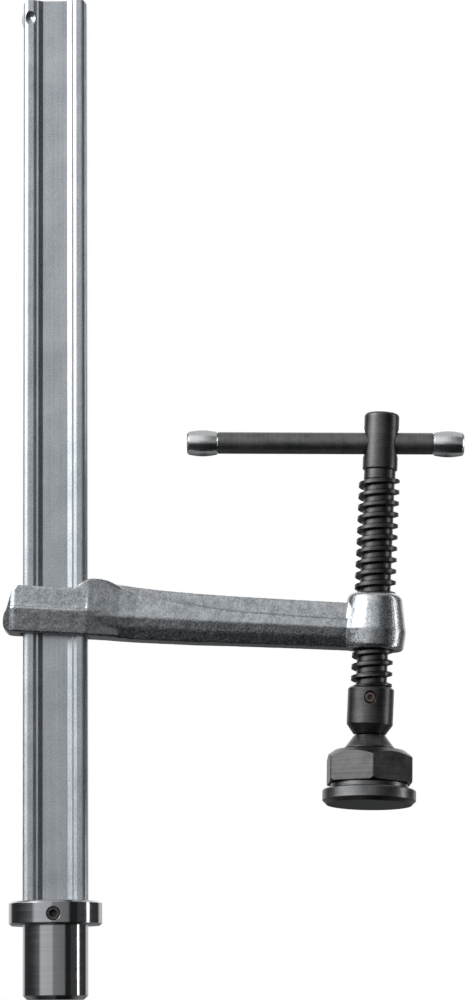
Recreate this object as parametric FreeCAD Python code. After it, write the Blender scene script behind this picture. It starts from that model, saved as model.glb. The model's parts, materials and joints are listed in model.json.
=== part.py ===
import FreeCAD, Part
import math
import os

# A screw clamp for a welding table, in millimetres.
# A plain pin stands in a hole of the table, and its collar rests on the table top.
# A profiled rail rises from the pin, a forged arm slides on the rail, and a screw
# spindle with a T-bar presses a tilting pad down.
# Frame: the origin is on the pin's axis at the underside of the collar, +Z runs up
# the rail, +X points from the rail to the spindle, and -Y is the front.
# The arm leans on the rail, as it does when it grips, so the arm and all it carries
# are drawn square in their own frame and then leaned over about Y.

# ---- driving dimensions ------------------------------------------------------

# rail
rail_width = 28.0
rail_thickness = 11.0
rail_top = 410.0
rail_edge_radius = 2.6
rail_web_half = 5.4
rail_inner_slope = 1.9
rail_shelf = 0.9
rail_outer_slope = 1.2
rail_inner_step = 1.3
rail_outer_step = 0.9
rail_top_chamfer = 1.6
tenon_width = 17.0
tenon_depth = 22.0

# stop pressed into the top of the rail
stop_below_top = 8.2
stop_edge_distance = 3.0
stop_dimple_diameter = 6.4
stop_dimple_depth = 1.9
stop_bulge = 0.9
stop_bulge_radius = 7.0
stop_bulge_depth = 5.0

# pin and collar
pin_diameter = 28.0
pin_length = 31.5
pin_chamfer = 1.8
pin_neck_diameter = 25.0
collar_ledge = 6.0
collar_height = 10.4
collar_chamfer = 0.9
collar_mouth_clearance = 0.2
collar_mouth_depth = 1.2
rail_seat = 7.4
dowel_diameter = 5.0
dowel_height = 3.6
collar_screw_height = 4.6
collar_screw_diameter = 6.0
collar_screw_socket = 3.0
collar_screw_sink = 0.5

# arm
arm_lean = 3.1
arm_height = 135.2
throat = 124.5
arm_bottom = -10.0
arm_top = 10.4
arm_step = 1.0
eye_side_wall = 4.9
eye_upper_inset = 0.9
eye_draft = 1.6
eye_back_wall = 8.6
eye_corner = 6.0
eye_taper = 14.0
# round end of the eye: how far in from its back, and how far under its top
eye_nose_upper = [(eye_corner, 0.0), (3.9, 1.9), (3.0, 4.0), (2.2, 7.1)]
# the same below the step, with the height above the arm's bottom
eye_nose_lower = [
    (1.3, 10.0), (0.4, 8.7), (0.0, 6.5), (0.0, 4.0), (0.4, 2.4), (1.3, 1.0), (2.6, 0.0),
]
# the same end from above: how far in from its back, and its share of the eye's depth
eye_nose_plan = [(0.0, 0.36), (3.3, 0.90), (4.9, 1.0)]
hump_rise = 4.4
hump_start = -6.0
hump_middle = 3.2
hump_half_length = 2.2
hump_round = 1.0
beam_half_depth = 8.2
beam_crease_half = 7.4
beam_bottom_half = 5.9
beam_ledge_round = 0.6
beam_wall_half = 6.5
beam_top_half = 5.3
beam_crease = -5.6
beam_ridge = -1.2
beam_top = 9.7
beam_belly = 0.8
# the slender part at shares of the way from the rail to the spindle: how far its top is
# above beam_top, its ledge under its top, how much of the belly and of the eye it has
beam_stations = [
    (0.00, 4.6, 0.8, 0.0, 0.85),
    (0.06, 4.2, 1.0, 0.3, 0.45),
    (0.11, 3.3, 1.8, 0.7, 0.15),
    (0.17, 2.5, 3.3, 1.0, 0.0),
    (0.27, 1.6, 4.6, 1.0, 0.0),
    (0.39, 1.0, 5.9, 1.0, 0.0),
    (0.51, 0.6, 7.1, 0.6, 0.0),
    (0.73, 0.3, 7.7, 0.2, 0.0),
    (1.00, 0.0, 7.9, 0.0, 0.0),
]
boss_top = 14.8
boss_top_wall = 3.2
boss_belly_wall = 5.2
boss_belly_height = 8.5
boss_bottom_wall = 4.5
boss_top_round = 3.3
boss_bottom_round = 1.8
boss_countersink = 0.65
boss_countersink_depth = 1.75

# spindle
screw_diameter = 17.9
screw_depth = 2.25
screw_pitch = 5.0
screw_crest = 1.5
screw_root_width = 3.0
screw_top = 65.2
screw_bottom = -25.6
head_diameter = 15.3
head_top = 94.6
head_bottom = 69.2
head_round = 1.6
head_edge_chamfer = 0.6
relief_step = 0.2
journal_step = 0.1
journal_groove_width = 2.4
journal_groove_depth = 1.5
cup_floor = 0.3
cup_cover = 5.2

# T-bar
bar_lean = 0.7
bar_height = 81.3
bar_diameter = 9.5
bar_long_side = 85.0
bar_short_side = 36.3
bar_entry_flare = 1.45
bar_entry_depth = 1.6
cap_length = 13.7
cap_belly = 0.7
cap_lip = 0.5
cap_edge_chamfer = 0.7
spigot_step = 1.25
spigot_length = 9.5

# ball joint
ball_diameter = 16.0
sleeve_wall = 1.7
sleeve_gap = 0.7
sleeve_cone_start = 1.2
sleeve_mouth_hold = 1.7
sleeve_lip = 0.7
sleeve_top_chamfer = 0.8
sleeve_screw_drop = 5.1
sleeve_screw_diameter = 5.0
sleeve_screw_turn = -3.5
sleeve_screw_countersink = 0.45
sleeve_screw_socket = 2.0
sleeve_screw_sink = 0.5
sleeve_screw_seat = 0.1
dog_diameter = 2.0

# pad
pad_lean = 1.4
pad_nod = 3.0
neck_diameter = 9.5
flare_room = 0.8
flare_edge = 0.3
flare_top_radius = 7.0
flare_waist_drop = 1.7
flare_waist_radius = 8.2
bead_diameter = 22.0
bead_height = 1.4
bead_round = 0.5
holder_drop = 6.2
holder_chamfer_height = 4.0
holder_chamfer_width = 4.0
holder_crown_edge = 0.4
holder_bottom_chamfer = 0.8
holder_corner_cut = 0.2
holder_flats = 35.4
holder_height = 14.6
holder_turn = 3.0
shank_diameter = 9.0
shank_length = 5.4
plate_diameter = 40.4
plate_thickness = 6.5
plate_chamfer = 1.8
plate_top_chamfer = 0.6
plate_neck_diameter = 33.5
plate_neck_height = 2.3
plate_spigot_diameter = 14.0
plate_spigot_length = 6.6
ring_thickness = 1.2
ring_width = 1.3
ring_gap = 2.0
ring_drop = 2.0
ring_groove_depth = 0.7

# clearances
sliding_clearance = 0.15
side_clearance = 0.3
screw_clearance = 0.2
journal_clearance = 0.05
ball_clearance = 0.3
cup_clearance = 0.3
bar_clearance = 0.4
plate_clearance = 0.06
plate_end_clearance = 0.3
dog_clearance = 0.2
ring_clearance = 0.3
fixed_clearance = 0.02

# grub screws
grub_chamfer = 0.4
socket_share = 0.8

# ---- what follows from them --------------------------------------------------

lean = math.radians(arm_lean)
hex_ratio = 2 / math.sqrt(3)
rail_half = rail_width / 2
web_thickness = rail_thickness - 2 * (rail_inner_step + rail_outer_step)
pin_radius = pin_diameter / 2
pin_neck_radius = pin_neck_diameter / 2
collar_radius = pin_radius + collar_ledge
eye_back = rail_half + eye_back_wall
eye_half_depth = rail_thickness / 2 + side_clearance + eye_side_wall
eye_taper_end = rail_half + eye_taper
hump_x = rail_half + hump_middle
hump_top = arm_top + hump_rise
spindle_x = rail_half + throat
screw_radius = screw_diameter / 2
root_radius = screw_radius - screw_depth
head_radius = head_diameter / 2
bar_radius = bar_diameter / 2
bar_hole_radius = bar_radius + bar_clearance
spigot_radius = bar_radius - spigot_step
ball_radius = ball_diameter / 2
socket_radius = ball_radius + ball_clearance
cup_radius = ball_radius + cup_clearance
journal_radius = ball_radius - journal_step
sleeve_radius = socket_radius + sleeve_wall
sleeve_top = screw_bottom - sleeve_gap
sleeve_screw_height = sleeve_top - sleeve_screw_drop
journal_groove_bottom = sleeve_screw_height - journal_groove_width / 2
ball_height = journal_groove_bottom - cup_floor - cup_radius
journal_bottom = ball_height + cup_cover
mouth_radius = ball_radius - sleeve_mouth_hold
lip_drop = math.sqrt(socket_radius ** 2 - mouth_radius ** 2)
flare_top = lip_drop + flare_room
holder_top = flare_top + holder_drop

FRONT = FreeCAD.Vector(0, -1, 0)
ALONG = FreeCAD.Vector(1, 0, 0)
UP = FreeCAD.Vector(0, 0, 1)


def point(x, y, z):
    return FreeCAD.Vector(x, y, z)


def leaned(shape):
    """The shape, drawn in the arm's own frame, in its place on the rail."""
    placed = shape.copy()
    placed.rotate(point(0, 0, 0), point(0, 1, 0), arm_lean)
    placed.translate(point(0, 0, arm_height))
    return placed


def leaned_point(x, z):
    """Where a point of the arm's own XZ plane lies in the clamp's frame."""
    return point(
        x * math.cos(lean) + z * math.sin(lean),
        0,
        arm_height - x * math.sin(lean) + z * math.cos(lean),
    )


def prism_along_y(outline, half_depth):
    """A solid from an outline of (x, z) points, the same depth to front and back."""
    corners = [point(x, -half_depth, z) for x, z in outline]
    wire = Part.makePolygon(corners + corners[:1])
    return Part.Face(wire).extrude(point(0, 2 * half_depth, 0))


def prism_along_z(outline, bottom, top):
    corners = [point(x, y, bottom) for x, y in outline]
    wire = Part.makePolygon(corners + corners[:1])
    return Part.Face(wire).extrude(point(0, 0, top - bottom))


def turned(outline, axis_x=0.0):
    """A solid of revolution from (radius, z) points, about a vertical axis."""
    corners = [point(axis_x + radius, 0, z) for radius, z in outline]
    wire = Part.makePolygon(corners + corners[:1])
    return Part.Face(wire).revolve(point(axis_x, 0, 0), UP, 360)


def round_corner(centre_radius, centre_z, size, start, end, steps=5):
    """Points of a rounded corner of a turned outline, by angles in degrees."""
    points = []
    for step in range(steps + 1):
        angle = math.radians(start + (end - start) * step / steps)
        points.append((centre_radius + size * math.cos(angle), centre_z + size * math.sin(angle)))
    return points


def hexagon_prism(flats, bottom, top, turn=0.0):
    radius = flats / 2 * hex_ratio
    outline = []
    for corner in range(6):
        angle = math.radians(60 * corner + 30 + turn)
        outline.append((radius * math.cos(angle), radius * math.sin(angle)))
    return prism_along_z(outline, bottom, top)


def grub_screw(diameter, length, socket, dog, dog_length):
    """A headless screw pointing up from z = 0, with its hexagon socket at z = 0."""
    radius = diameter / 2
    body = turned([
        (0, 0), (radius - grub_chamfer, 0), (radius, grub_chamfer), (radius, length - grub_chamfer),
        (radius - grub_chamfer, length), (0, length),
    ])
    if dog_length > 0:
        body = body.fuse(Part.makeCylinder(dog / 2, dog_length, point(0, 0, length)))
    return body.cut(hexagon_prism(socket, 0, socket_share * length)).removeSplitter()


def facing_front(shape, x, y, z):
    """Turns a screw drawn along +Z so that it goes in towards +Y, head at the point."""
    placed = shape.copy()
    placed.rotate(point(0, 0, 0), point(1, 0, 0), -90)
    placed.translate(point(x, y, z))
    return placed


# ---- rail, pin and collar ----------------------------------------------------

def rail():
    half = rail_half
    face = rail_thickness / 2
    inner = rail_web_half + rail_inner_slope
    shelf = inner + rail_shelf
    outer = shelf + rail_outer_slope
    side = [
        (-half, face), (-outer, face), (-shelf, face - rail_outer_step),
        (-inner, face - rail_outer_step), (-rail_web_half, web_thickness / 2),
    ]
    front_to_right = side + [(-x, y) for x, y in reversed(side)]
    section = front_to_right + [(x, -y) for x, y in reversed(front_to_right)]
    bar = prism_along_z(section, rail_seat, rail_top)
    upright = [
        edge for edge in bar.Edges
        if edge.Length > rail_top / 2 and abs(abs(edge.CenterOfMass.x) - half) < 0.01
    ]
    bar = bar.makeFillet(rail_edge_radius, upright)
    top_corners = half - rail_top_chamfer
    cap = prism_along_y([
        (-half, rail_seat), (half, rail_seat), (half, rail_top - rail_top_chamfer),
        (top_corners, rail_top), (-top_corners, rail_top), (-half, rail_top - rail_top_chamfer),
    ], rail_thickness)
    bar = bar.common(cap)
    tenon = Part.makeBox(
        tenon_width, web_thickness, tenon_depth,
        point(-tenon_width / 2, -web_thickness / 2, rail_seat - tenon_depth),
    )
    bar = bar.fuse(tenon)
    bar = bar.cut(dowel_hole())
    stop_z = rail_top - stop_below_top
    bulge = Part.makeCylinder(
        stop_bulge_radius, stop_bulge_depth,
        point(-half - stop_bulge + stop_bulge_radius, stop_bulge_depth / 2, stop_z), FRONT,
    )
    edge_side = Part.makeBox(
        outer - rail_web_half, stop_bulge_depth, 4 * stop_bulge_radius,
        point(-half - stop_bulge, -stop_bulge_depth / 2, stop_z - 2 * stop_bulge_radius),
    )
    bar = bar.fuse(bulge.common(edge_side))
    dimple = Part.makeCone(
        stop_dimple_diameter / 2, 0, stop_dimple_depth,
        point(-half + stop_edge_distance, -face, stop_z), point(0, 1, 0),
    )
    return bar.cut(dimple).removeSplitter()


def dowel_hole():
    return Part.makeCylinder(
        dowel_diameter / 2, pin_neck_diameter, point(-pin_neck_radius, 0, dowel_height), ALONG,
    )


def table_pin():
    pin = turned([
        (0, -pin_length), (pin_radius - pin_chamfer, -pin_length),
        (pin_radius, -pin_length + pin_chamfer), (pin_radius, 0), (pin_neck_radius, 0),
        (pin_neck_radius, rail_seat), (0, rail_seat),
    ])
    pocket = Part.makeBox(
        tenon_width + 2 * fixed_clearance, web_thickness + 2 * fixed_clearance, tenon_depth + 1,
        point(-tenon_width / 2 - fixed_clearance, -web_thickness / 2 - fixed_clearance,
              rail_seat - tenon_depth - 1),
    )
    return pin.cut(pocket).cut(dowel_hole()).removeSplitter()


def rail_dowel():
    chord = 2 * math.sqrt(pin_neck_radius ** 2 - (dowel_diameter / 2) ** 2)
    return Part.makeCylinder(
        dowel_diameter / 2, chord, point(-chord / 2, 0, dowel_height), ALONG,
    )


def stop_collar():
    radius = collar_radius
    ring = turned([
        (0, 0), (radius - collar_chamfer, 0), (radius, collar_chamfer),
        (radius, collar_height - collar_chamfer), (radius - collar_chamfer, collar_height),
        (0, collar_height),
    ])
    bore = Part.makeCylinder(pin_neck_radius + fixed_clearance, rail_seat)
    # The bore's mouth is opened to more than the pin, so the flat underside starts outside it.
    mouth = Part.makeCone(
        pin_radius + collar_mouth_clearance, pin_neck_radius + fixed_clearance, collar_mouth_depth,
    )
    slot = Part.makeBox(
        rail_width + 2 * fixed_clearance, rail_thickness + 2 * fixed_clearance, collar_height,
        point(-rail_half - fixed_clearance, -rail_thickness / 2 - fixed_clearance, rail_seat),
    )
    screw_hole = Part.makeCylinder(
        collar_screw_diameter / 2, radius, point(0, -radius, collar_screw_height), point(0, 1, 0),
    )
    return ring.cut(bore).cut(mouth).cut(slot).cut(screw_hole).removeSplitter()


def collar_grub_screw():
    length = collar_radius - collar_screw_sink - pin_neck_radius
    screw = grub_screw(collar_screw_diameter, length, collar_screw_socket, 0, 0)
    return facing_front(screw, 0, -collar_radius + collar_screw_sink, collar_screw_height)


# ---- screw thread ------------------------------------------------------------

def thread_ridge(clearance, bottom, top):
    """The spindle's thread ridge, larger all round by the clearance."""
    turns_below = math.floor(bottom / screw_pitch) - 1
    start = turns_below * screw_pitch
    height = top - start + screw_pitch
    inside = root_radius + clearance - 0.4
    outside = screw_radius + clearance
    slope = (screw_root_width - screw_crest) / 2 / (screw_radius - root_radius)
    crest = screw_crest / 2 + clearance
    base = crest + slope * (outside - inside)
    profile = Part.makePolygon([
        point(inside, 0, -base), point(outside, 0, -crest), point(outside, 0, crest),
        point(inside, 0, base), point(inside, 0, -base),
    ])
    helix = Part.makeHelix(screw_pitch, height, root_radius)
    ridge = Part.Wire(helix.Edges).makePipeShell([profile], True, True)
    ridge.translate(point(0, 0, start))
    slice_all = Part.makeCylinder(outside + 1, top - bottom, point(0, 0, bottom))
    return ridge.common(slice_all)


def threaded_hole(bottom, top):
    hole = Part.makeCylinder(root_radius + screw_clearance, top - bottom, point(0, 0, bottom))
    hole = hole.fuse(thread_ridge(screw_clearance, bottom, top))
    hole.translate(point(spindle_x, 0, 0))
    return hole


# ---- arm ---------------------------------------------------------------------

def eye_plan(z, share):
    """The eye's outline from above, at a height, with its depth scaled by the share."""
    right = [(-eye_back + inset, depth * eye_half_depth) for inset, depth in eye_nose_plan]
    right += [(rail_half, eye_half_depth), (eye_taper_end, beam_half_depth)]
    outline = right + [(x, -y) for x, y in reversed(right)]
    corners = [point(x, y * share, z) for x, y in outline]
    return Part.makePolygon(corners + corners[:1])


def eye():
    """The end of the arm that goes round the rail, with a band proud of its lower half."""
    side = [
        (eye_taper_end, arm_bottom), (eye_taper_end, arm_top + 0.35 * hump_rise),
        (hump_x + 2.4 * hump_half_length, hump_top - hump_round / 2),
        (hump_x + hump_half_length, hump_top), (hump_x - hump_half_length, hump_top),
        (rail_half + (hump_start + hump_middle) / 2, hump_top - hump_round),
        (rail_half + hump_start, arm_top),
    ]
    side += [(-eye_back + inset, arm_top - drop) for inset, drop in eye_nose_upper]
    side += [(-eye_back + inset, arm_bottom + rise) for inset, rise in eye_nose_lower]
    foot_share = 1 - eye_draft / eye_half_depth
    upper_share = 1 - eye_upper_inset / eye_half_depth
    band = Part.makeLoft([eye_plan(arm_bottom, foot_share), eye_plan(arm_step, 1)], True, True)
    upper = Part.Face(eye_plan(arm_step, upper_share)).extrude(point(0, 0, hump_top - arm_step))
    return band.fuse(upper).common(prism_along_y(side, 2 * eye_half_depth))


def beam_section(x, bottom, top, ledge, wider):
    """A section of the slender part: a ridge, a ledge over it and a wall leaning back."""
    ridge_half = beam_half_depth + wider
    right = [
        (beam_bottom_half + wider, bottom), (beam_crease_half + wider, beam_crease),
        (ridge_half, beam_ridge), (ridge_half - beam_ledge_round, ledge),
        (beam_wall_half + wider, ledge + beam_ledge_round), (beam_top_half + wider, top),
    ]
    outline = right + [(-y, z) for y, z in reversed(right)]
    corners = [point(x, y, z) for y, z in outline]
    return Part.makePolygon(corners + corners[:1])


def beam():
    """The slender part of the arm, between the eye and the boss."""
    sections = []
    for share, rise, ledge_drop, belly_share, eye_share in beam_stations:
        x = rail_half + share * (spindle_x - rail_half)
        top = beam_top + rise
        bottom = arm_bottom - belly_share * beam_belly
        wider = eye_share * (eye_half_depth - beam_half_depth)
        sections.append(beam_section(x, bottom, top, top - ledge_drop, wider))
    return Part.makeLoft(sections, True, True)


def boss():
    """The round end of the arm that the spindle screws through."""
    outline = [(0, arm_bottom)]
    outline += round_corner(
        screw_radius + boss_bottom_wall - boss_bottom_round, arm_bottom + boss_bottom_round,
        boss_bottom_round, -90, 0,
    )
    outline += [(screw_radius + boss_belly_wall, arm_bottom + boss_belly_height)]
    outline += round_corner(
        screw_radius + boss_top_wall - boss_top_round, boss_top - boss_top_round, boss_top_round, 0, 90,
    )
    outline += [(0, boss_top)]
    return turned(outline, spindle_x)


def rail_slot():
    """The opening for the rail, long enough for the arm to lean in it."""
    height = boss_top - arm_bottom
    reach = max(arm_top, -arm_bottom)
    half_length = rail_half / math.cos(lean) + reach * math.tan(lean) + sliding_clearance
    half_depth = rail_thickness / 2 + side_clearance
    return Part.makeBox(
        2 * half_length, 2 * half_depth, 4 * height,
        point(-half_length, -half_depth, arm_bottom - height),
    )


def sliding_arm():
    forging = eye().fuse(beam()).fuse(boss())
    forging = forging.cut(rail_slot())
    forging = forging.cut(threaded_hole(arm_bottom - 1, boss_top + 1))
    mouth = screw_radius + boss_countersink
    mouth_top = arm_bottom + boss_countersink_depth
    countersink = turned([
        (0, arm_bottom - 1), (mouth, arm_bottom - 1), (mouth, arm_bottom), (root_radius, mouth_top),
        (0, mouth_top),
    ], spindle_x)
    return leaned(forging.cut(countersink).removeSplitter())


# ---- spindle, T-bar and ball joint -------------------------------------------

def spindle():
    relief_radius = root_radius + relief_step
    groove_floor = journal_radius - journal_groove_depth
    groove_top = sleeve_screw_height + journal_groove_width / 2
    blank = turned(
        [
            (0, journal_bottom), (journal_radius, journal_bottom),
            (journal_radius, journal_groove_bottom), (groove_floor, journal_groove_bottom),
            (groove_floor, groove_top), (journal_radius, groove_top), (journal_radius, screw_bottom),
            (root_radius, screw_bottom), (root_radius, screw_top), (relief_radius, screw_top),
            (relief_radius, head_bottom), (head_radius - head_edge_chamfer, head_bottom),
            (head_radius, head_bottom + head_edge_chamfer),
        ]
        + round_corner(head_radius - head_round, head_top - head_round, head_round, 0, 90)
        + [(0, head_top)]
    )
    body = blank.cut(Part.makeSphere(cup_radius, point(0, 0, ball_height)))
    body = body.fuse(thread_ridge(0, screw_bottom, screw_top))
    hole = Part.makeCylinder(
        bar_hole_radius, 2 * head_diameter, point(-head_diameter, 0, bar_height), ALONG,
    )
    body = body.cut(hole)
    for facing in (-1, 1):
        entry = Part.makeCone(
            bar_hole_radius, bar_hole_radius + bar_entry_flare, bar_entry_depth,
            point(facing * (head_radius - bar_entry_depth), 0, bar_height), ALONG * facing,
        )
        body = body.cut(entry)
    body = body.removeSplitter()
    body.translate(point(spindle_x, 0, 0))
    return leaned(body)


def along_bar(shape):
    """Lays a shape drawn along +Z down along the T-bar, with z = 0 at the spindle."""
    placed = shape.copy()
    placed.rotate(point(0, 0, 0), point(0, 1, 0), 90 + bar_lean)
    placed.translate(leaned_point(spindle_x, bar_height))
    return placed


def tommy_bar():
    left = -bar_long_side + cap_length
    right = bar_short_side - cap_length
    left_end = left - spigot_length
    right_end = right + spigot_length
    return along_bar(turned([
        (0, left_end), (spigot_radius, left_end), (spigot_radius, left), (bar_radius, left),
        (bar_radius, right), (spigot_radius, right), (spigot_radius, right_end), (0, right_end),
    ]))


def handle_cap():
    """A barrel-shaped end cap, drawn from its open end at z = 0."""
    end = bar_radius + cap_lip
    belly = []
    steps = 8
    for step in range(steps + 1):
        along = step / steps
        radius = end + cap_belly * math.sin(math.pi * along)
        belly.append((radius, cap_edge_chamfer + (cap_length - 2 * cap_edge_chamfer) * along))
    outline = [(0, 0), (end - cap_edge_chamfer, 0)] + belly
    outline += [(end - cap_edge_chamfer, cap_length), (0, cap_length)]
    return turned(outline).cut(Part.makeCylinder(spigot_radius, spigot_length))


def handle_cap_right():
    cap = handle_cap()
    cap.translate(point(0, 0, bar_short_side - cap_length))
    return along_bar(cap)


def handle_cap_left():
    cap = handle_cap()
    cap.rotate(point(0, 0, 0), point(1, 0, 0), 180)
    cap.translate(point(0, 0, -bar_long_side + cap_length))
    return along_bar(cap)


def socket_sleeve():
    radius = sleeve_radius
    bore = journal_radius + journal_clearance
    lip = ball_height - lip_drop
    outer = turned([
        (0, lip), (mouth_radius + sleeve_lip, lip), (radius, ball_height - sleeve_cone_start),
        (radius, sleeve_top - sleeve_top_chamfer), (radius - sleeve_top_chamfer, sleeve_top),
        (0, sleeve_top),
    ])
    socket = Part.makeSphere(socket_radius, point(0, 0, ball_height))
    chamber = Part.makeCylinder(socket_radius, cup_cover, point(0, 0, ball_height))
    way_in = Part.makeCylinder(bore, sleeve_top - journal_bottom, point(0, 0, journal_bottom))
    sleeve = outer.cut(socket).cut(chamber).cut(way_in)
    screw_hole = Part.makeCylinder(
        sleeve_screw_diameter / 2, radius, point(0, -radius, sleeve_screw_height), point(0, 1, 0),
    )
    countersink = Part.makeCone(
        sleeve_screw_diameter / 2 + sleeve_screw_countersink, sleeve_screw_diameter / 2,
        sleeve_screw_countersink, point(0, -radius, sleeve_screw_height), point(0, 1, 0),
    )
    sleeve = sleeve.cut(screw_hole).cut(countersink).removeSplitter()
    sleeve.rotate(point(0, 0, 0), UP, sleeve_screw_turn)
    sleeve.translate(point(spindle_x, 0, 0))
    return leaned(sleeve)


def sleeve_grub_screw():
    head = sleeve_radius - sleeve_screw_sink
    seat = journal_radius + journal_clearance + sleeve_screw_seat
    tip = journal_radius - journal_groove_depth + dog_clearance
    screw = grub_screw(
        sleeve_screw_diameter, head - seat, sleeve_screw_socket, dog_diameter, seat - tip,
    )
    screw = facing_front(screw, 0, -head, sleeve_screw_height)
    screw.rotate(point(0, 0, 0), UP, sleeve_screw_turn)
    screw.translate(point(spindle_x, 0, 0))
    return leaned(screw)


# ---- pad, which hangs a little tilted under the ball -------------------------

def under_ball(shape):
    """Tilts a shape drawn round the ball's centre and moves it to where the ball is."""
    placed = shape.copy()
    placed.rotate(point(0, 0, 0), point(1, 0, 0), -pad_nod)
    placed.rotate(point(0, 0, 0), point(0, 1, 0), pad_lean)
    placed.translate(leaned_point(spindle_x, ball_height))
    return placed


def ball_stud():
    neck = neck_diameter / 2
    bead = bead_diameter / 2
    stem = turned([
        (0, 0), (neck, 0), (neck, -flare_top + flare_edge), (flare_top_radius, -flare_top),
        (flare_waist_radius, -flare_top - flare_waist_drop),
        (bead - bead_round, -holder_top + bead_height),
        (bead, -holder_top + bead_height - bead_round), (bead, -holder_top + bead_round),
        (bead - bead_round, -holder_top),
        (shank_diameter / 2, -holder_top), (shank_diameter / 2, -holder_top - shank_length),
        (0, -holder_top - shank_length),
    ])
    return under_ball(stem.fuse(Part.makeSphere(ball_radius)).removeSplitter())


def hex_holder():
    corner = holder_flats / 2 * hex_ratio
    bead = bead_diameter / 2
    bottom = -holder_top - holder_height
    body = hexagon_prism(holder_flats, bottom, -holder_top, holder_turn)
    turned_blank = turned([
        (0, bottom), (corner - holder_bottom_chamfer, bottom),
        (corner - holder_corner_cut, bottom + holder_bottom_chamfer),
        (corner - holder_corner_cut, -holder_top - holder_chamfer_height),
        (bead + holder_crown_edge + holder_chamfer_width, -holder_top - holder_crown_edge),
        (bead + holder_crown_edge, -holder_top),
        (0, -holder_top),
    ])
    shank_hole = Part.makeCylinder(
        shank_diameter / 2, shank_length, point(0, 0, -holder_top - shank_length),
    )
    bore = plate_spigot_diameter / 2 + plate_clearance
    groove = plate_spigot_diameter / 2 + ring_width - ring_groove_depth + ring_clearance
    room = ring_thickness / 2 + ring_clearance
    ring_z = bottom + plate_spigot_length - plate_end_clearance - ring_drop
    blind_end = bottom + plate_spigot_length + plate_end_clearance
    plate_hole = turned([
        (0, bottom), (bore, bottom), (bore, ring_z - room), (groove, ring_z - room),
        (groove, ring_z + room), (bore, ring_z + room), (bore, blind_end), (0, blind_end),
    ])
    return under_ball(body.common(turned_blank).cut(shank_hole).cut(plate_hole).removeSplitter())


def plate_levels():
    """The plate's spigot end, its ring, its neck, its top and its face, from the ball."""
    neck_top = -holder_top - holder_height - plate_end_clearance
    spigot_end = neck_top + plate_spigot_length
    ring_z = spigot_end - ring_drop
    plate_top = neck_top - plate_neck_height
    return spigot_end, ring_z, neck_top, plate_top, plate_top - plate_thickness


def pressure_plate():
    spigot_end, ring_z, neck_top, plate_top, face = plate_levels()
    radius = plate_diameter / 2
    neck = plate_neck_diameter / 2
    spigot = plate_spigot_diameter / 2
    floor = spigot - ring_groove_depth
    half_ring = ring_thickness / 2
    return under_ball(turned([
        (0, face), (radius - plate_chamfer, face), (radius, face + plate_chamfer),
        (radius, plate_top - plate_top_chamfer), (radius - plate_top_chamfer, plate_top),
        (neck, plate_top), (neck, neck_top),
        (spigot, neck_top), (spigot, ring_z - half_ring), (floor, ring_z - half_ring),
        (floor, ring_z + half_ring), (spigot, ring_z + half_ring), (spigot, spigot_end),
        (0, spigot_end),
    ]))


def plate_snap_ring():
    ring_z = plate_levels()[1]
    inner = plate_spigot_diameter / 2 - ring_groove_depth
    outer = inner + ring_width
    ring = Part.makeCylinder(outer, ring_thickness, point(0, 0, ring_z - ring_thickness / 2))
    ring = ring.cut(Part.makeCylinder(inner, ring_thickness, point(0, 0, ring_z - ring_thickness / 2)))
    gap = Part.makeBox(
        outer, ring_gap, 2 * ring_thickness, point(0, -ring_gap / 2, ring_z - ring_thickness),
    )
    return under_ball(ring.cut(gap))


# ---- writing the pieces ------------------------------------------------------

PIECES = {
    "rail": rail,
    "table_pin": table_pin,
    "rail_dowel": rail_dowel,
    "stop_collar": stop_collar,
    "collar_grub_screw": collar_grub_screw,
    "sliding_arm": sliding_arm,
    "spindle": spindle,
    "tommy_bar": tommy_bar,
    "handle_cap_left": handle_cap_left,
    "handle_cap_right": handle_cap_right,
    "socket_sleeve": socket_sleeve,
    "sleeve_grub_screw": sleeve_grub_screw,
    "ball_stud": ball_stud,
    "hex_holder": hex_holder,
    "pressure_plate": pressure_plate,
    "plate_snap_ring": plate_snap_ring,
}

os.makedirs("parts", exist_ok=True)
for name, make in PIECES.items():
    piece = make()
    if piece.ShapeType == "Compound" and len(piece.Solids) == 1:
        piece = piece.Solids[0]
    print(name, piece.isValid(), len(piece.Solids), round(piece.Volume, 1))
    piece.exportStep("parts/" + name + ".step")
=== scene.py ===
import bmesh
import bpy
import json
import math
from mathutils import Matrix, Vector, noise

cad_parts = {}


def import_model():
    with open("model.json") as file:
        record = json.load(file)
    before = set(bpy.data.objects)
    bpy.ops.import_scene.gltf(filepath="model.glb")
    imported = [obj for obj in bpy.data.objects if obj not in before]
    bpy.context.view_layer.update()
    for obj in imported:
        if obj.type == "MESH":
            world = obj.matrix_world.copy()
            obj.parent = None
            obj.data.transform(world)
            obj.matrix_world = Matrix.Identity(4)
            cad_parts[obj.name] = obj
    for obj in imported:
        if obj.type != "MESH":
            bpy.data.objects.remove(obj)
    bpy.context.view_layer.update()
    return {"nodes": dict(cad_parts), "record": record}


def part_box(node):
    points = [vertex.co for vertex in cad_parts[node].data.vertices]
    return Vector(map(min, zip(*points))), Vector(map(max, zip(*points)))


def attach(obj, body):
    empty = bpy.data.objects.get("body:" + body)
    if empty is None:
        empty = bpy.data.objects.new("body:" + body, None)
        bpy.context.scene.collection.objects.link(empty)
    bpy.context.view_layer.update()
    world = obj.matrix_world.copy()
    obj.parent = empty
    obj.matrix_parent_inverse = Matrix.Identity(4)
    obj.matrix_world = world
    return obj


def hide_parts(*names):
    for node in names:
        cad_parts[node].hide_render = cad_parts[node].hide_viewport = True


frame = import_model()

# ---- sizes in metres, angles in degrees -----------------------------------------

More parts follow.
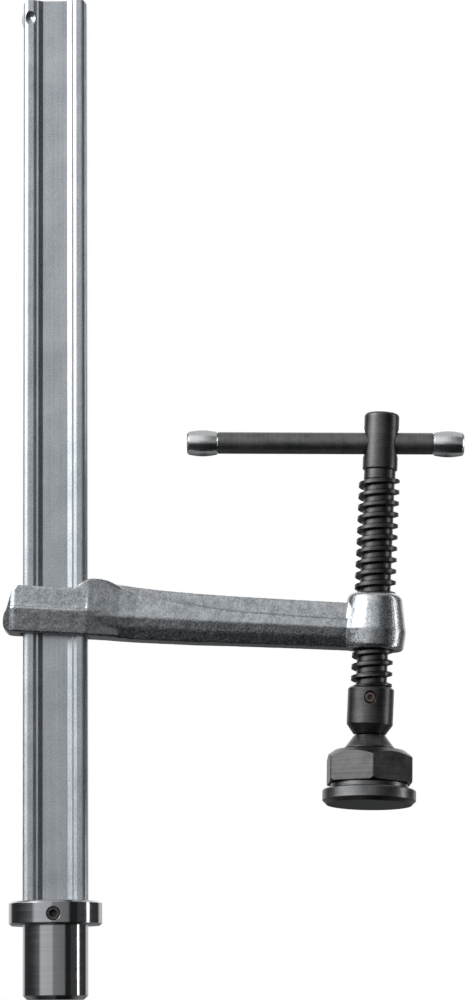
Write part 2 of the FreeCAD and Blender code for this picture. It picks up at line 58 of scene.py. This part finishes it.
merge_distance = 1e-6
forging_voxel = 0.0004
forging_smooth_rounds = 3
forging_smooth_share = 0.5
forging_lump = 0.00003
forging_lump_scale = 420.0
forging_lump_roughness = 0.6
forging_lump_spacing = 2.0
forging_lump_octaves = 3
forging_lump_middle = 0.6
bore_room = 0.0003
bore_margin = 3 * bore_room
slot_margin = 0.0012
edge_round = 0.00035
cap_belly = 0.0007
cap_chamfer = 0.0007
cap_steps = 24
lathe_steps = 128
sharp_angle = 30.0

# ---- light ------------------------------------------------------------------------
# Levels by degrees round the object: 0 is the camera's side, and the left is negative.
# HORIZON is level with the object, ABOVE and BELOW are over and under it.

HORIZON = [
    (-180, 0.12), (-160, 0.70), (-145, 0.70), (-132, 0.05), (-100, 0.03), (-80, 0.05), (-58, 0.14),
    (-50, 0.62), (-9, 0.58), (-5, 0.28), (34, 0.22), (39, 0.02), (56, 0.02), (60, 0.06),
    (100, 0.06), (132, 0.04), (145, 0.70), (160, 0.70), (180, 0.12),
]
ABOVE = [
    (-180, 1.3), (-150, 1.2), (-130, 0.08), (-106, 0.08), (-94, 2.3), (-42, 2.3), (-28, 0.82),
    (-4, 0.72), (10, 0.42), (28, 0.06), (130, 0.06), (150, 1.2), (180, 1.3),
]
BELOW = [
    (-180, 0.03), (-160, 0.20), (-140, 0.20), (-120, 0.02), (-70, 0.08), (-30, 0.02), (30, 0.008),
    (120, 0.01), (140, 0.20), (160, 0.20), (180, 0.03),
]
OVERHEAD = 0.5
above_span = (0.06, 0.22)
below_span = (-0.26, -0.05)
overhead_span = (0.70, 0.90)
cool_tint = 0.03
WHITE = (1, 1, 1, 1)
key_place = Vector((-0.95, -0.55, 0.75))
edge_place = Vector((0.90, 0.0, 0.15))
lit_spot = Vector((0.06, 0.0, 0.20))

camera_place = Vector((0.0774, -1.5, -0.0532))
camera_sensor = 36.0
camera_nearest = 0.01
camera_farthest = 30.0

nodes = frame["nodes"]
rail_low, rail_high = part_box("rail")


# ---- small helpers for node materials ----------------------------------------

class Nodes:
    """Adds nodes to a material's tree and joins them up."""

    def __init__(self, tree):
        self.tree = tree

    def add(self, kind, inputs=(), **settings):
        node = self.tree.nodes.new(kind)
        for name, value in settings.items():
            setattr(node, name, value)
        for name, value in dict(inputs).items():
            if isinstance(value, bpy.types.NodeSocket):
                self.tree.links.new(value, node.inputs[name])
            else:
                node.inputs[name].default_value = value
        return node

    def speckle(self, scale, detail=3.0, roughness=0.6, vector=None):
        inputs = {"Scale": scale, "Detail": detail, "Roughness": roughness}
        inputs["Vector"] = vector if vector else self.place()
        return self.add("ShaderNodeTexNoise", inputs).outputs["Fac"]

    def place(self):
        return self.add("ShaderNodeTexCoord").outputs["Object"]

    def stretched(self, x, y, z):
        return self.add(
            "ShaderNodeMapping", {"Vector": self.place(), "Scale": (x, y, z)},
        ).outputs["Vector"]

    def span(self, value, low, high, start=0.3, end=0.7):
        return self.add("ShaderNodeMapRange", {
            "Value": value, "From Min": start, "From Max": end, "To Min": low, "To Max": high,
        }).outputs["Result"]

    def blend(self, amount, one, other):
        mix = self.add("ShaderNodeMix", data_type="RGBA")
        sockets = (mix.inputs[0], mix.inputs[6], mix.inputs[7])
        for socket, value in zip(sockets, (amount, one, other)):
            if isinstance(value, bpy.types.NodeSocket):
                self.tree.links.new(value, socket)
            else:
                socket.default_value = value
        return mix.outputs[2]

    def bump(self, height, distance, strength=1.0, normal=None):
        inputs = {"Height": height, "Distance": distance, "Strength": strength}
        if normal:
            inputs["Normal"] = normal
        return self.add("ShaderNodeBump", inputs).outputs["Normal"]

    def rounded_edges(self, radius):
        return self.add("ShaderNodeBevel", {"Radius": radius}, samples=4).outputs["Normal"]

    def painted_hollow_shade(self, reach, start, end):
        """A mask for painted shade: 1 on open surfaces, down to 0 in hollows and corners."""
        shade = self.add("ShaderNodeAmbientOcclusion", {"Distance": reach}, samples=6)
        return self.span(shade.outputs["AO"], 0.0, 1.0, start, end)

    def sum(self, *values):
        total = values[0]
        for value in values[1:]:
            total = self.add("ShaderNodeMath", {0: total, 1: value}, operation="ADD").outputs[0]
        return total

    def times(self, value, factor):
        return self.add("ShaderNodeMath", {0: value, 1: factor}, operation="MULTIPLY").outputs[0]


def metal(name):
    """A new metal material, with its shader and a node builder."""
    material = bpy.data.materials.new(name)
    material.use_nodes = True
    shader = material.node_tree.nodes["Principled BSDF"]
    shader.inputs["Metallic"].default_value = 1.0
    return material, shader, Nodes(material.node_tree)


def plug(build, shader, colour, roughness, normal):
    """Joins a finished colour, roughness and normal to the shader."""
    links = build.tree.links
    links.new(colour, shader.inputs["Base Color"])
    links.new(roughness, shader.inputs["Roughness"])
    links.new(normal, shader.inputs["Normal"])


def zinc_rail():
    """Zinc on drawn steel: a fine grain, faint clouds and streaks along the rail."""
    material, shader, build = metal("zinc_rail")
    grain = build.speckle(1500.0, detail=2.0)
    cloud = build.speckle(70.0)
    drawn = build.speckle(9.0, vector=build.stretched(90.0, 90.0, 1.0))
    tone = build.sum(build.times(grain, 0.5), build.times(cloud, 0.3), build.times(drawn, 0.2))
    amount = build.span(tone, 0.0, 1.0, 0.38, 0.62)
    colour = build.blend(amount, (0.48, 0.51, 0.54, 1), (0.78, 0.805, 0.825, 1))
    roughness = build.span(grain, 0.30, 0.46)
    relief = build.sum(build.times(grain, 0.7), build.times(drawn, 0.5))
    plug(build, shader, colour, roughness,
         build.bump(relief, 0.00005, normal=build.rounded_edges(edge_round)))
    return material


def zinc_forging():
    """Zinc on a forging: coarser and more uneven than the rail, with painted shade darkening its
    hollows.
    """
    material, shader, build = metal("zinc_forging")
    grain = build.speckle(1500.0, detail=2.0)
    cloud = build.speckle(300.0)
    lumps = build.speckle(700.0, detail=3.0)
    tone = build.sum(build.times(grain, 0.65), build.times(cloud, 0.35))
    amount = build.span(tone, 0.0, 1.0, 0.38, 0.62)
    colour = build.blend(amount, (0.38, 0.40, 0.42, 1), (0.82, 0.84, 0.85, 1))
    # Painted shade: ambient occlusion blends the colour toward near-black in hollows and corners.
    colour = build.blend(build.painted_hollow_shade(0.003, 0.30, 0.85), (0.10, 0.105, 0.11, 1), colour)
    roughness = build.span(grain, 0.22, 0.36)
    relief = build.sum(build.times(grain, 0.4), build.times(lumps, 0.6))
    plug(build, shader, colour, roughness, build.bump(relief, 0.000025))
    return material


def turned_steel(name, axis_scale, low, high, roughness_low, roughness_high):
    """Bright steel with fine turning rings across the given axis."""
    material, shader, build = metal(name)
    rings = build.speckle(1.0, detail=2.0, vector=build.stretched(*axis_scale))
    cloud = build.speckle(60.0)
    tone = build.sum(build.times(rings, 0.7), build.times(cloud, 0.3))
    colour = build.blend(build.span(tone, 0.0, 1.0), low, high)
    roughness = build.span(rings, roughness_low, roughness_high)
    plug(build, shader, colour, roughness,
         build.bump(rings, 0.000004, strength=0.5, normal=build.rounded_edges(edge_round)))
    return material


def black_steel(name, axis_scale, low, high, roughness_low, roughness_high):
    """Black oxide over turned steel, cloudy and grained, with painted shade darkening its hollows.
    """
    material, shader, build = metal(name)
    rings = build.speckle(1.0, detail=3.0, vector=build.stretched(*axis_scale))
    cloud = build.speckle(160.0, detail=4.0)
    grain = build.speckle(1400.0, detail=1.0)
    tone = build.sum(build.times(rings, 0.35), build.times(cloud, 0.4), build.times(grain, 0.25))
    colour = build.blend(build.span(tone, 0.0, 1.0, 0.36, 0.64), low, high)
    # Painted shade: ambient occlusion blends the colour toward near-black in hollows, sockets and
    # corners.
    colour = build.blend(build.painted_hollow_shade(0.0015, 0.30, 0.80), (0.012, 0.011, 0.010, 1), colour)
    dullness = build.sum(build.times(cloud, 0.5), build.times(grain, 0.5))
    roughness = build.span(dullness, roughness_low, roughness_high)
    relief = build.sum(build.times(rings, 0.6), build.times(grain, 0.4))
    plug(build, shader, colour, roughness,
         build.bump(relief, 0.000012, strength=0.6, normal=build.rounded_edges(edge_round)))
    return material


def wear(piece, material):
    """Gives every material slot of a piece the same material."""
    for slot in piece.material_slots:
        slot.material = material


# ---- the forged arm ------------------------------------------------------------

def joint_row(name):
    for joint in frame["record"]["behaviour"]["joints"]:
        if joint["name"] == name:
            return joint


def joint_axis(name):
    return Vector(joint_row(name)["axis"]).normalized()


def forged_arm(material):
    """The CAD arm's shape with its sharp edges rounded and its faces slightly uneven."""
    source = nodes["sliding_arm"]
    mesh = source.data.copy()
    shape = bmesh.new()
    shape.from_mesh(mesh)
    bmesh.ops.remove_doubles(shape, verts=shape.verts, dist=merge_distance)
    shape.to_mesh(mesh)
    shape.free()
    piece = bpy.data.objects.new("forged_arm", mesh)
    bpy.context.scene.collection.objects.link(piece)
    remesh = piece.modifiers.new("even", "REMESH")
    remesh.mode = "VOXEL"
    remesh.voxel_size = forging_voxel
    graph = bpy.context.evaluated_depsgraph_get()
    mesh = bpy.data.meshes.new_from_object(piece.evaluated_get(graph))
    piece.modifiers.clear()
    piece.data = mesh
    shape = bmesh.new()
    shape.from_mesh(mesh)
    spot = Vector(joint_row("spindle_spin")["pos_m"])
    along = joint_axis("spindle_spin")
    screw = nodes["spindle"].dimensions.y / 2
    slot_x = (rail_high.x - rail_low.x) / 2 + slot_margin
    slot_y = (rail_high.y - rail_low.y) / 2 + slot_margin
    free = []
    for vert in shape.verts:
        away = vert.co - spot
        out = away - along * away.dot(along)
        in_slot = abs(vert.co.x) < slot_x and abs(vert.co.y) < slot_y
        if out.length > screw + bore_margin and not in_slot:
            free.append(vert)
    for step in range(forging_smooth_rounds):
        bmesh.ops.smooth_vert(
            shape, verts=free, factor=forging_smooth_share,
            use_axis_x=True, use_axis_y=True, use_axis_z=True,
        )
    shape.normal_update()
    for vert in free:
        lump = noise.fractal(
            vert.co * forging_lump_scale, forging_lump_roughness, forging_lump_spacing,
            forging_lump_octaves,
        )
        vert.co += vert.normal * (lump - forging_lump_middle) * forging_lump
    bore = screw + bore_room
    for vert in shape.verts:
        away = vert.co - spot
        out = away - along * away.dot(along)
        if 0 < out.length < bore:
            vert.co += out.normalized() * (bore - out.length)
    for face in shape.faces:
        face.smooth = True
    shape.to_mesh(mesh)
    shape.free()
    mesh.materials.clear()
    mesh.materials.append(material)
    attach(piece, "arm")
    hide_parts("sliding_arm")


# ---- turned pieces ---------------------------------------------------------------

def lathe(name, outline, centre, axis, material):
    """A smooth solid of revolution from (along, radius) points, about the axis."""
    shape = bmesh.new()
    turn = axis.to_track_quat("X", "Z").to_matrix().to_4x4()
    loops = []
    for along, radius in outline:
        loop = []
        for step in range(lathe_steps):
            angle = 2 * math.pi * step / lathe_steps
            spot = Vector((along, radius * math.cos(angle), radius * math.sin(angle)))
            loop.append(shape.verts.new(centre + turn @ spot))
        loops.append(loop)
    for one, other in zip(loops, loops[1:]):
        for step in range(lathe_steps):
            after = (step + 1) % lathe_steps
            shape.faces.new((one[step], one[after], other[after], other[step]))
    shape.faces.new(loops[0])
    shape.faces.new(loops[-1])
    bmesh.ops.recalc_face_normals(shape, faces=shape.faces)
    mesh = bpy.data.meshes.new(name)
    shape.to_mesh(mesh)
    shape.free()
    mesh.shade_smooth()
    mesh.set_sharp_from_angle(angle=math.radians(sharp_angle))
    mesh.materials.append(material)
    piece = bpy.data.objects.new(name, mesh)
    bpy.context.scene.collection.objects.link(piece)
    return piece


def barrel_cap(side, material):
    """One bright barrel-shaped cap of the T-bar, in place of its plain CAD node."""
    node = "handle_cap_" + side
    low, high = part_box(node)
    axis = joint_axis("handle_slide")
    widest = (high.y - low.y) / 2
    end = widest - cap_belly
    length = (high.x - low.x - 2 * end * abs(axis.z)) / axis.x
    outline = [(-length / 2, end - cap_chamfer)]
    for step in range(cap_steps + 1):
        share = step / cap_steps
        along = -length / 2 + cap_chamfer + (length - 2 * cap_chamfer) * share
        outline.append((along, end + cap_belly * math.sin(math.pi * share)))
    outline.append((length / 2, end - cap_chamfer))
    piece = lathe("barrel_cap_" + side, outline, (low + high) / 2, axis, material)
    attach(piece, "handle")
    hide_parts(node)


# ---- surroundings and camera ------------------------------------------------------

def lighting_ramp(build, around, stops):
    """A colour from one of the tables of light levels, by the direction round the object."""
    ramp = build.add("ShaderNodeValToRGB", {"Fac": around})
    elements = ramp.color_ramp.elements
    for degrees, level in stops[1:-1]:
        elements.new((degrees + 180) / 360)
    for element, (degrees, level) in zip(elements, stops):
        element.position = (degrees + 180) / 360
        element.color = (level * (1 - cool_tint), level, level * (1 + cool_tint), 1)
    return ramp.outputs["Color"]


def world():
    """A soft studio: panels round the horizon, a softbox high on the left, dark below.

    The camera itself sees plain white behind the object.
    """
    surroundings = bpy.data.worlds.new("studio")
    bpy.context.scene.world = surroundings
    surroundings.use_nodes = True
    tree = surroundings.node_tree
    tree.nodes.clear()
    build = Nodes(tree)
    direction = build.add("ShaderNodeTexCoord").outputs["Generated"]
    parts = build.add("ShaderNodeSeparateXYZ", {"Vector": direction})
    to_front = build.times(parts.outputs["Y"], -1.0)
    angle = build.add("ShaderNodeMath", {0: parts.outputs["X"], 1: to_front}, operation="ARCTAN2")
    around = build.span(angle.outputs[0], 0.0, 1.0, -math.pi, math.pi)
    level = lighting_ramp(build, around, HORIZON)
    above = lighting_ramp(build, around, ABOVE)
    below = lighting_ramp(build, around, BELOW)
    up = build.span(parts.outputs["Z"], 0.0, 1.0, *above_span)
    down = build.span(parts.outputs["Z"], 1.0, 0.0, *below_span)
    overhead = build.span(parts.outputs["Z"], 0.0, 1.0, *overhead_span)
    colour = build.blend(down, build.blend(up, level, above), below)
    colour = build.blend(overhead, colour, (OVERHEAD, OVERHEAD, OVERHEAD, 1))
    lit = build.add("ShaderNodeBackground", {"Color": colour})
    seen = build.add("ShaderNodeBackground", {"Color": WHITE})
    is_camera = build.add("ShaderNodeLightPath").outputs["Is Camera Ray"]
    mix = build.add("ShaderNodeMixShader", {0: is_camera, 1: lit.outputs[0], 2: seen.outputs[0]})
    build.add("ShaderNodeOutputWorld", {"Surface": mix.outputs[0]})


def softbox(name, place, target, width, height, power):
    """A rectangular lamp that the camera doesn't see, turned to face the target."""
    light = bpy.data.lights.new(name, "AREA")
    light.shape = "RECTANGLE"
    light.size = width
    light.size_y = height
    light.energy = power
    lamp = bpy.data.objects.new(name, light)
    lamp.location = place
    lamp.rotation_euler = (target - place).to_track_quat("-Z", "Y").to_euler()
    lamp.visible_camera = False
    bpy.context.scene.collection.objects.link(lamp)


def aimed_camera(place, pitch, roll, lens):
    """A camera that looks along +Y, tilted up by pitch and turned about its view by roll."""
    camera_data = bpy.data.cameras.new("camera")
    camera_data.lens = lens
    camera_data.sensor_width = camera_sensor
    camera_data.clip_start = camera_nearest
    camera_data.clip_end = camera_farthest
    camera = bpy.data.objects.new("camera", camera_data)
    tilt = Matrix.Rotation(math.radians(90 + pitch), 4, "X")
    turn = Matrix.Rotation(math.radians(roll), 4, "Z")
    camera.matrix_world = Matrix.Translation(place) @ tilt @ turn
    bpy.context.scene.collection.objects.link(camera)
    bpy.context.scene.camera = camera


# ---- putting it together ----------------------------------------------------------

forged_arm(zinc_forging())
wear(nodes["rail"], zinc_rail())
rings_up = (30.0, 30.0, 2500.0)
rings_across = (2500.0, 30.0, 30.0)
bright_up = turned_steel(
    "turned_steel_upright", rings_up, (0.52, 0.53, 0.54, 1), (0.60, 0.60, 0.61, 1), 0.06, 0.14,
)
bright_across = turned_steel(
    "turned_steel_across", rings_across, (0.78, 0.79, 0.80, 1), (0.90, 0.90, 0.91, 1), 0.18, 0.28,
)
for name in ("table_pin", "stop_collar"):
    wear(nodes[name], bright_up)
for side in ("left", "right"):
    barrel_cap(side, bright_across)
dark_up = black_steel(
    "black_steel_upright", rings_up, (0.075, 0.074, 0.075, 1), (0.165, 0.160, 0.158, 1), 0.28, 0.44,
)
for name in ("spindle", "socket_sleeve", "ball_stud", "hex_holder", "plate_snap_ring",
             "rail_dowel", "collar_grub_screw"):
    wear(nodes[name], dark_up)
wear(nodes["pressure_plate"], black_steel(
    "black_steel_plate", rings_up, (0.13, 0.13, 0.132, 1), (0.26, 0.255, 0.25, 1), 0.26, 0.40,
))
wear(nodes["sleeve_grub_screw"], black_steel(
    "black_steel_screw", rings_up, (0.13, 0.095, 0.08, 1), (0.24, 0.19, 0.165, 1), 0.3, 0.45,
))
wear(nodes["tommy_bar"], black_steel(
    "black_steel_bar", rings_across, (0.14, 0.14, 0.14, 1), (0.30, 0.295, 0.29, 1), 0.40, 0.58,
))

world()
softbox("key", key_place, lit_spot, width=0.5, height=0.5, power=3.0)
softbox("edge", edge_place, lit_spot, width=0.12, height=1.3, power=1.8)
aimed_camera(camera_place, pitch=9.0, roll=-0.46, lens=125.0)
bpy.context.scene.view_settings.view_transform = "Standard"
